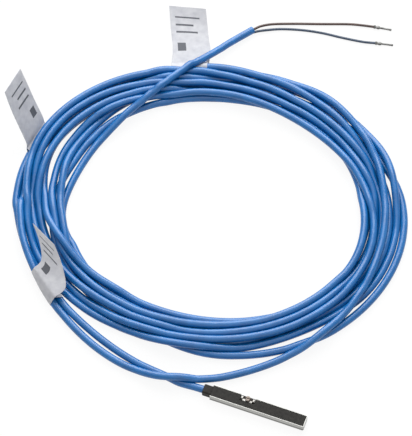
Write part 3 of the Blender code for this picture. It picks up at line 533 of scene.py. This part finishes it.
def labelFlag(name, flag, settings):
    # a flat grid with its map, laid along the film's path and made thick
    columns, rows = settings["grid"]
    bpy.ops.object.select_all(action="DESELECT")
    bpy.ops.mesh.primitive_grid_add(x_subdivisions=columns, y_subdivisions=rows, size=1.0, calc_uvs=True)
    piece = bpy.context.object
    piece.name = name
    paths = {}
    for v in piece.data.vertices:
        share = round(v.co.x + 0.5, 4)
        if share not in paths:
            path = filmPath(flag, share, settings)
            along = wayAlong(path)
            paths[share] = (path, along / along[-1])
        path, along = paths[share]
        v.co = [np.interp(v.co.y + 0.5, along, path[:, k]) for k in range(3)]
    print(name, "folded from", round(lineLength(filmPath(flag, 0.5, settings)) * 1000), "mm of film")
    thick = piece.modifiers.new("thick", "SOLIDIFY")
    thick.thickness = settings["film"]
    thick.offset = 0.0
    bpy.ops.object.modifier_apply(modifier="thick")
    bpy.ops.object.mode_set(mode="EDIT")
    bpy.ops.mesh.select_all(action="SELECT")
    bpy.ops.mesh.normals_make_consistent(inside=False)
    bpy.ops.object.mode_set(mode="OBJECT")
    bpy.ops.object.shade_smooth_by_angle(angle=math.radians(smoothSet["film"]))
    return piece


for name, node in (("labelTop", "label_top"), ("labelLeft", "label_left"), ("labelLower", "label_lower")):
    place(labelFlag(name, flagSet[name], flagSet), "label_film", node)
# shared effects, each a node group built once
def newGroup(name, inputs, outputs):
    # inputs are rows of (label, kind, starting value)
    group = bpy.data.node_groups.new(name, "ShaderNodeTree")
    for label, kind, value in inputs:
        socket = group.interface.new_socket(name=label, in_out="INPUT", socket_type=kind)
        if value is not None:
            socket.default_value = value
    for label in outputs:
        group.interface.new_socket(name=label, in_out="OUTPUT", socket_type="NodeSocketFloat")
    nodes = group.nodes
    return group, nodes, group.links, nodes.new("NodeGroupInput"), nodes.new("NodeGroupOutput")


def maths(nodes, links, kind, a, b):
    # one maths node; a and b are sockets or numbers
    node = nodes.new("ShaderNodeMath")
    node.operation = kind
    for socket, value in zip(node.inputs, (a, b)):
        if isinstance(value, (int, float)):
            socket.default_value = value
        else:
            links.new(value, socket)
    return node.outputs[0]


def noise(nodes, links, vector, scale, detail, rough=0.5):
    # scale is a socket or a number
    node = nodes.new("ShaderNodeTexNoise")
    node.inputs["Detail"].default_value = detail
    node.inputs["Roughness"].default_value = rough
    links.new(vector, node.inputs["Vector"])
    if isinstance(scale, (int, float)):
        node.inputs["Scale"].default_value = scale
    else:
        links.new(scale, node.inputs["Scale"])
    return node.outputs["Fac"]


def spread(nodes, links, value, low, high, outLow=0.0, outHigh=1.0):
    # low to high becomes outLow to outHigh
    node = nodes.new("ShaderNodeMapRange")
    for label, number in (("From Min", low), ("From Max", high), ("To Min", outLow), ("To Max", outHigh)):
        node.inputs[label].default_value = number
    links.new(value, node.inputs["Value"])
    return node.outputs["Result"]


# mottling and fine grain, drawn out along one axis where Stretch says so
grainSet = {
    "softDetail": 3.0,
    "softRange": (0.30, 0.70),      # values of the noise that become 0 and 1
    "fineTimes": 9.0,               # how many times finer the fine grain is
    "fineDetail": 5.0,
    "fineRough": 0.62,
    "fineRange": (0.28, 0.72),
}

grainGroup, nodes, links, given, result = newGroup(
    "surfaceGrain",
    (("Vector", "NodeSocketVector", None), ("Stretch", "NodeSocketVector", (1.0, 1.0, 1.0)),
     ("Scale", "NodeSocketFloat", 400.0)),
    ("Soft", "Fine"))
stretch = nodes.new("ShaderNodeVectorMath")
stretch.operation = "MULTIPLY"
links.new(given.outputs["Vector"], stretch.inputs[0])
links.new(given.outputs["Stretch"], stretch.inputs[1])
soft = noise(nodes, links, stretch.outputs[0], given.outputs["Scale"], grainSet["softDetail"])
fineScale = maths(nodes, links, "MULTIPLY", given.outputs["Scale"], grainSet["fineTimes"])
fine = noise(nodes, links, stretch.outputs[0], fineScale, grainSet["fineDetail"], grainSet["fineRough"])
links.new(spread(nodes, links, soft, *grainSet["softRange"]), result.inputs["Soft"])
links.new(spread(nodes, links, fine, *grainSet["fineRange"]), result.inputs["Fine"])

# rubbed edges, broken up, and painted shade in corners, darker the less open they are
edgeSet = {
    "samples": 4,
    "turned": (0.995, 0.86),        # from where to where the rounded normal's turn shows as an edge
    "patchDetail": 4.0,
    "patchRange": (0.35, 0.62),     # values of the noise where rubbing starts and is full
    "shadeSamples": 6,
    "shadeRange": (0.85, 0.25),     # how open a corner is where the painted shade starts and is full
    "reach": 8,                     # how far the painted shade comes out of a corner, in edge radii
    "dull": 0.25,                   # roughness added where the corners are shaded
}

edgeGroup, nodes, links, given, result = newGroup(
    "edgesAndCorners",
    (("Vector", "NodeSocketVector", None), ("Radius", "NodeSocketFloat", 0.0001),
     ("Break", "NodeSocketFloat", 1500.0), ("Reach", "NodeSocketFloat", 0.0006)),
    ("Edge", "Corner"))
bevel = nodes.new("ShaderNodeBevel")
bevel.samples = edgeSet["samples"]
links.new(given.outputs["Radius"], bevel.inputs["Radius"])
surface = nodes.new("ShaderNodeNewGeometry")
turn = nodes.new("ShaderNodeVectorMath")
turn.operation = "DOT_PRODUCT"
links.new(bevel.outputs[0], turn.inputs[0])
links.new(surface.outputs["Normal"], turn.inputs[1])
edge = spread(nodes, links, turn.outputs["Value"], *edgeSet["turned"])
patches = noise(nodes, links, given.outputs["Vector"], given.outputs["Break"], edgeSet["patchDetail"])
broken = spread(nodes, links, patches, *edgeSet["patchRange"])
links.new(maths(nodes, links, "MULTIPLY", edge, broken), result.inputs["Edge"])
# the Corner mask is painted shade: ambient occlusion that darkens the colour where little light reaches
shade = nodes.new("ShaderNodeAmbientOcclusion")
shade.samples = edgeSet["shadeSamples"]
links.new(given.outputs["Reach"], shade.inputs["Distance"])
links.new(spread(nodes, links, shade.outputs["AO"], *edgeSet["shadeRange"]), result.inputs["Corner"])

# small scattered pits or specks
speckGroup, nodes, links, given, result = newGroup(
    "specks", (("Vector", "NodeSocketVector", None), ("Scale", "NodeSocketFloat", 900.0),
               ("Size", "NodeSocketFloat", 0.12)), ("Mask",))
cells = nodes.new("ShaderNodeTexVoronoi")
links.new(given.outputs["Vector"], cells.inputs["Vector"])
links.new(given.outputs["Scale"], cells.inputs["Scale"])
inside = maths(nodes, links, "LESS_THAN", cells.outputs["Distance"], given.outputs["Size"])
links.new(inside, result.inputs["Mask"])

# three bars and a plain field printed on a label, as shares of its map:
# from where to where in from the tip, then across
barSet = (
    (0.065, 0.075, 0.14, 0.80),
    (0.115, 0.128, 0.14, 0.62),
    (0.165, 0.178, 0.14, 0.72),
    (0.25, 0.31, 0.14, 0.36),
)
barGroup, nodes, links, given, result = newGroup(
    "labelBars", (("Vector", "NodeSocketVector", None),), ("Ink",))
parts = nodes.new("ShaderNodeSeparateXYZ")
links.new(given.outputs["Vector"], parts.inputs[0])
across, along = parts.outputs["X"], parts.outputs["Y"]
half = maths(nodes, links, "MINIMUM", along, maths(nodes, links, "SUBTRACT", 1.0, along))


def between(value, low, high):
    # 1 from low to high, 0 elsewhere
    return maths(nodes, links, "MULTIPLY", maths(nodes, links, "GREATER_THAN", value, low),
                maths(nodes, links, "LESS_THAN", value, high))


ink = None
for low, high, left, right in barSet:
    bar = maths(nodes, links, "MULTIPLY", between(across, left, right), between(half, low, high))
    ink = bar if ink is None else maths(nodes, links, "MAXIMUM", ink, bar)
links.new(ink, result.inputs["Ink"])


# materials
def newMaterial(name):
    material = bpy.data.materials.new(name)
    material.use_nodes = True
    nodes = material.node_tree.nodes
    return material, nodes, material.node_tree.links, nodes["Principled BSDF"]


def useGroup(nodes, links, group, vector, **values):
    # the values go to the group's inputs by name
    node = nodes.new("ShaderNodeGroup")
    node.node_tree = group
    links.new(vector, node.inputs["Vector"])
    for label, value in values.items():
        node.inputs[label].default_value = value
    return node.outputs


def blend(nodes, links, share, a, b):
    # a turns into b; each is a colour or a socket
    node = nodes.new("ShaderNodeMix")
    node.data_type = "RGBA"
    links.new(share, node.inputs["Factor"])
    sockets = [s for s in node.inputs if s.type == "RGBA"]
    for socket, value in zip(sockets, (a, b)):
        if isinstance(value, tuple):
            socket.default_value = (*value, 1.0)
        else:
            links.new(value, socket)
    return [s for s in node.outputs if s.type == "RGBA"][0]


def roughen(nodes, links, shader, height, strength, distance):
    # a fine unevenness that breaks up highlights
    bump = nodes.new("ShaderNodeBump")
    bump.inputs["Strength"].default_value = strength
    bump.inputs["Distance"].default_value = distance
    links.new(height, bump.inputs["Height"])
    links.new(bump.outputs["Normal"], shader.inputs["Normal"])


def finish(name, settings):
    # low and high are mottled together; a band of painted shade below a height, specks, worn edges and
    # painted shade in corners only where a finish has them
    material, nodes, links, shader = newMaterial(name)
    spot = nodes.new("ShaderNodeTexCoord").outputs["Object"]
    grain = useGroup(nodes, links, grainGroup, spot, Scale=settings["scale"],
                     Stretch=settings.get("stretch", (1, 1, 1)))
    colour = blend(nodes, links, grain["Soft"], settings["low"], settings["high"])
    rough = spread(nodes, links, grain["Fine"], 0.0, 1.0, *settings["rough"])
    if "band" in settings:          # painted shade: darker below a height, down in the pocket and low on the walls
        parts = nodes.new("ShaderNodeSeparateXYZ")
        links.new(spot, parts.inputs[0])
        bottom, top, tint = settings["band"]
        colour = blend(nodes, links, spread(nodes, links, parts.outputs["Z"], bottom, top), tint, colour)
    if "specks" in settings:        # scale, size and colour
        scale, size, tint = settings["specks"]
        specks = useGroup(nodes, links, speckGroup, spot, Scale=scale, Size=size)
        colour = blend(nodes, links, specks["Mask"], colour, tint)
    if "edge" in settings:          # radius, colour of rubbed edges and of the painted shade in corners
        radius, worn, cornerShade = settings["edge"]
        marks = useGroup(nodes, links, edgeGroup, spot, Radius=radius, Reach=radius * edgeSet["reach"])
        colour = blend(nodes, links, marks["Edge"], colour, worn)
        # painted shade: corners darkened towards the edge's last colour
        colour = blend(nodes, links, marks["Corner"], colour, cornerShade)
        dull = maths(nodes, links, "MULTIPLY", marks["Corner"], edgeSet["dull"])
        rough = maths(nodes, links, "ADD", rough, dull)
    links.new(colour, shader.inputs["Base Color"])
    links.new(rough, shader.inputs["Roughness"])
    shader.inputs["Metallic"].default_value = settings.get("metal", 0.0)
    shader.inputs["Specular IOR Level"].default_value = settings.get("shine", 0.5)
    shader.inputs["Coat Weight"].default_value = settings.get("coat", 0.0)
    roughen(nodes, links, shader, grain["Fine"], *settings["bump"])
    return material


# rough and bump are lowest and highest roughness, and strength and depth;
# the band below a height is bottom, top and colour of painted shade; specks and edge are as named above,
# the edge's last colour being painted shade in corners
finishSet = {
    "blue_jacket": {"low": (0.002, 0.104, 0.330), "high": (0.004, 0.140, 0.415), "scale": 160.0,
                    "rough": (0.20, 0.29), "bump": (0.15, 0.00003), "shine": 0.6},
    "brown_insulation": {"low": (0.045, 0.022, 0.017), "high": (0.075, 0.038, 0.030), "scale": 260.0,
                         "rough": (0.30, 0.42), "bump": (0.15, 0.00002)},
    "blue_insulation": {"low": (0.018, 0.036, 0.070), "high": (0.030, 0.054, 0.098), "scale": 260.0,
                        "rough": (0.30, 0.42), "bump": (0.15, 0.00002)},
    "stainless_steel": {"low": (0.32, 0.32, 0.305), "high": (0.43, 0.43, 0.41), "scale": 700.0,
                        "stretch": (0.04, 1.0, 1.0), "rough": (0.20, 0.36), "bump": (0.12, 0.00001),
                        "metal": 1.0,
                        # painted shade low on the walls, near the table
                        "band": (0.0013, 0.0020, (0.15, 0.15, 0.14)),
                        "edge": (0.00006, (0.50, 0.50, 0.48), (0.08, 0.08, 0.075))},
    "dark_moulding": {"low": (0.009, 0.0085, 0.0075), "high": (0.021, 0.0195, 0.017), "scale": 900.0,
                      "rough": (0.52, 0.70), "bump": (0.45, 0.00005), "shine": 0.22,
                      "edge": (0.00007, (0.045, 0.043, 0.040), (0.010, 0.010, 0.009))},
    "nickel_plate": {"low": (0.26, 0.25, 0.23), "high": (0.42, 0.41, 0.39), "scale": 900.0,
                     "rough": (0.18, 0.34), "bump": (0.10, 0.00001), "metal": 1.0,
                     # painted shade down in the pocket, below the ears
                     "band": (0.0027, 0.0030, (0.020, 0.018, 0.016)),
                     "edge": (0.00005, (0.85, 0.85, 0.83), (0.015, 0.014, 0.013))},
    "screw_steel": {"low": (0.14, 0.115, 0.10), "high": (0.24, 0.205, 0.18), "scale": 1400.0,
                    "rough": (0.22, 0.42), "bump": (0.15, 0.00001), "metal": 1.0,
                    "edge": (0.00005, (0.70, 0.68, 0.64), (0.02, 0.018, 0.015))},
    "tin": {"low": (0.07, 0.07, 0.068), "high": (0.20, 0.20, 0.195), "scale": 900.0,
            "rough": (0.30, 0.50), "bump": (0.25, 0.00002), "metal": 1.0,
            "edge": (0.00005, (0.40, 0.40, 0.39), (0.02, 0.02, 0.02))},
    "board_laminate": {"low": (0.010, 0.13, 0.045), "high": (0.016, 0.19, 0.065), "scale": 500.0,
                       "rough": (0.28, 0.42), "bump": (0.20, 0.00002), "coat": 0.3,
                       "specks": (1600.0, 0.16, (0.30, 0.27, 0.12)),
                       "edge": (0.00006, (0.24, 0.22, 0.10), (0.004, 0.05, 0.02))},
    "chip_plastic": {"low": (0.014, 0.014, 0.015), "high": (0.026, 0.026, 0.027), "scale": 900.0,
                     "rough": (0.50, 0.66), "bump": (0.30, 0.00003),
                     "edge": (0.00004, (0.07, 0.07, 0.07), (0.006, 0.006, 0.006))},
    "ceramic": {"low": (0.34, 0.25, 0.16), "high": (0.46, 0.36, 0.25), "scale": 1200.0,
                "rough": (0.45, 0.62), "bump": (0.20, 0.00002),
                "specks": (3500.0, 0.12, (0.20, 0.14, 0.09)),
                "edge": (0.00004, (0.58, 0.50, 0.40), (0.16, 0.11, 0.07))},
    "casting_resin": {"low": (0.010, 0.009, 0.007), "high": (0.024, 0.020, 0.015), "scale": 350.0,
                      "rough": (0.10, 0.22), "bump": (0.12, 0.00004), "coat": 0.4,
                      "specks": (1100.0, 0.07, (0.055, 0.050, 0.040)),
                      "edge": (0.00006, (0.06, 0.055, 0.045), (0.005, 0.005, 0.004))},
}


def finishName(slot):
    # blue_jacket becomes blueJacketFinish
    first, *others = slot.split("_")
    return first + "".join(word.capitalize() for word in others) + "Finish"


finishes = {slot: finish(finishName(slot), settings) for slot, settings in finishSet.items()}

# printed film
filmSet = {"low": (0.44, 0.445, 0.48), "high": (0.54, 0.545, 0.57), "ink": (0.10, 0.105, 0.12),
           "scale": 420.0, "rough": (0.46, 0.60), "bump": (0.12, 0.00002), "shine": 0.2}
film, nodes, links, shader = newMaterial("labelFilm")
coords = nodes.new("ShaderNodeTexCoord")
grain = useGroup(nodes, links, grainGroup, coords.outputs["Object"], Scale=filmSet["scale"])
paper = blend(nodes, links, grain["Soft"], filmSet["low"], filmSet["high"])
bars = useGroup(nodes, links, barGroup, coords.outputs["UV"])
links.new(blend(nodes, links, bars["Ink"], paper, filmSet["ink"]), shader.inputs["Base Color"])
links.new(spread(nodes, links, grain["Fine"], 0.0, 1.0, *filmSet["rough"]), shader.inputs["Roughness"])
shader.inputs["Specular IOR Level"].default_value = filmSet["shine"]
roughen(nodes, links, shader, grain["Soft"], *filmSet["bump"])
finishes["label_film"] = film

for part in frame["record"]["subparts"]:
    for s in frame["nodes"][part["node"]].material_slots:
        s.material = finishes[part["material_slot"]]
for piece, slot in newPieces:
    piece.data.materials.clear()
    piece.data.materials.append(finishes[slot])
print("finishes made")


# table
tableSet = {
    "size": 6.0,
    "middle": (-0.04, 0.07, 0.0),
    "white": 0.93,
    "rough": 0.9,
    "shine": 0.1,
    "glow": 0.9,             # share of plain white in what the camera and reflections see of it
}

bpy.ops.object.select_all(action="DESELECT")
bpy.ops.mesh.primitive_plane_add(size=tableSet["size"], location=tableSet["middle"])
table = bpy.context.object
table.name = "whiteTable"
material, nodes, links, shader = newMaterial("tableWhite")
shader.inputs["Base Color"].default_value = (tableSet["white"],) * 3 + (1.0,)
shader.inputs["Roughness"].default_value = tableSet["rough"]
shader.inputs["Specular IOR Level"].default_value = tableSet["shine"]
glow = nodes.new("ShaderNodeEmission")
glow.inputs["Color"].default_value = (1.0, 1.0, 1.0, 1.0)
glow.inputs["Strength"].default_value = 1.0
path = nodes.new("ShaderNodeLightPath")
seen = maths(nodes, links, "MAXIMUM", path.outputs["Is Camera Ray"], path.outputs["Is Glossy Ray"])
mix = nodes.new("ShaderNodeMixShader")
links.new(maths(nodes, links, "MULTIPLY", seen, tableSet["glow"]), mix.inputs[0])
links.new(shader.outputs[0], mix.inputs[1])
links.new(glow.outputs[0], mix.inputs[2])
links.new(mix.outputs[0], nodes["Material Output"].inputs["Surface"])
table.data.materials.append(material)
print("table laid")


# light: a white world and three soft lamps, each with its place, size and power
lightSet = {
    "sky": 0.36,             # the world's light on the object
    "mirrored": 0.75,        # how bright reflections see the world
    "lamps": {
        "keyLight": ((-0.35, 1.05, 0.75), 1.3, 25.0),
        "topLight": ((-0.15, 0.15, 1.30), 1.5, 7.0),
        "fillLight": ((0.6, -0.8, 0.9), 0.8, 1.2),
    },
}

world = bpy.data.worlds.new("studio")
scene.world = world
world.use_nodes = True
nodes, links = world.node_tree.nodes, world.node_tree.links
back = nodes["Background"]
back.inputs["Color"].default_value = (1.0, 1.0, 1.0, 1.0)
path = nodes.new("ShaderNodeLightPath")
level = lightSet["sky"]          # white where the camera sees it, a little less in reflections
for ray, bright in (("Is Camera Ray", 1.0), ("Is Glossy Ray", lightSet["mirrored"])):
    more = maths(nodes, links, "MULTIPLY", path.outputs[ray], bright - lightSet["sky"])
    level = maths(nodes, links, "ADD", level, more)
links.new(level, back.inputs["Strength"])

for name, (spot, size, power) in lightSet["lamps"].items():
    bpy.ops.object.light_add(type="AREA", location=spot)
    light = bpy.context.object
    light.name = name
    light.data.shape = "SQUARE"
    light.data.size = size
    light.data.energy = power
    aim = Vector(tableSet["middle"]) - Vector(spot)
    light.rotation_euler = aim.to_track_quat("-Z", "Y").to_euler()
print("lights set")

bpy.context.view_layer.update()      # so that every piece's place is up to date
